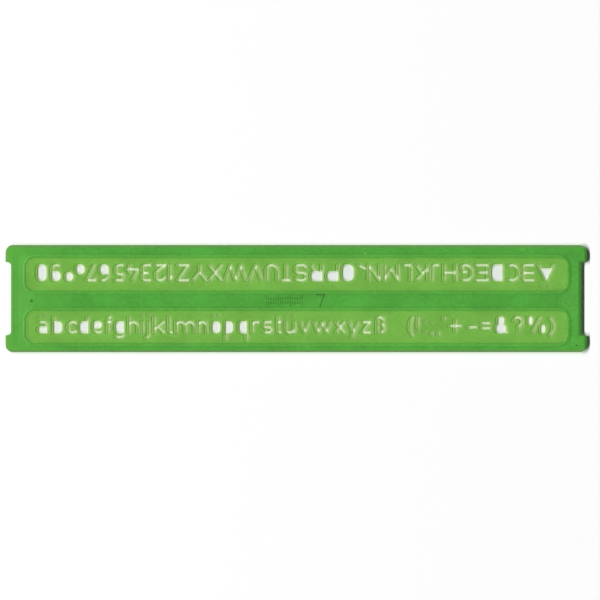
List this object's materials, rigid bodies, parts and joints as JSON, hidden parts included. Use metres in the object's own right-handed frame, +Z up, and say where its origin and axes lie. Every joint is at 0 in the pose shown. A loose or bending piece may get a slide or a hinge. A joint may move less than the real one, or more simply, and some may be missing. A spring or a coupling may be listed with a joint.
{
  "type": "lettering stencil",
  "caption": "Flat clear-green lettering stencil: a railed frame plate with two long windows, holding thin strips cut with capitals, figures, small letters and signs.",
  "frame": {"origin": "middle of the plate, on the face that lies on the paper", "axes": "+X along the length, the way the small letters read; +Y towards the edge beside the capitals; +Z up from the paper"},
  "size_m": [0.244, 0.045, 0.002],
  "materials": {
    "frame_green": "clear tinted plastic, glossy, lightly scratched",
    "strip_green": "clear tinted plastic, thin and slightly rippled"
  },
  "bodies": {
    "root": {"frame": "frame_green", "upper_lettering_strip": "strip_green", "lower_lettering_strip": "strip_green"}
  },
  "joints": []
}
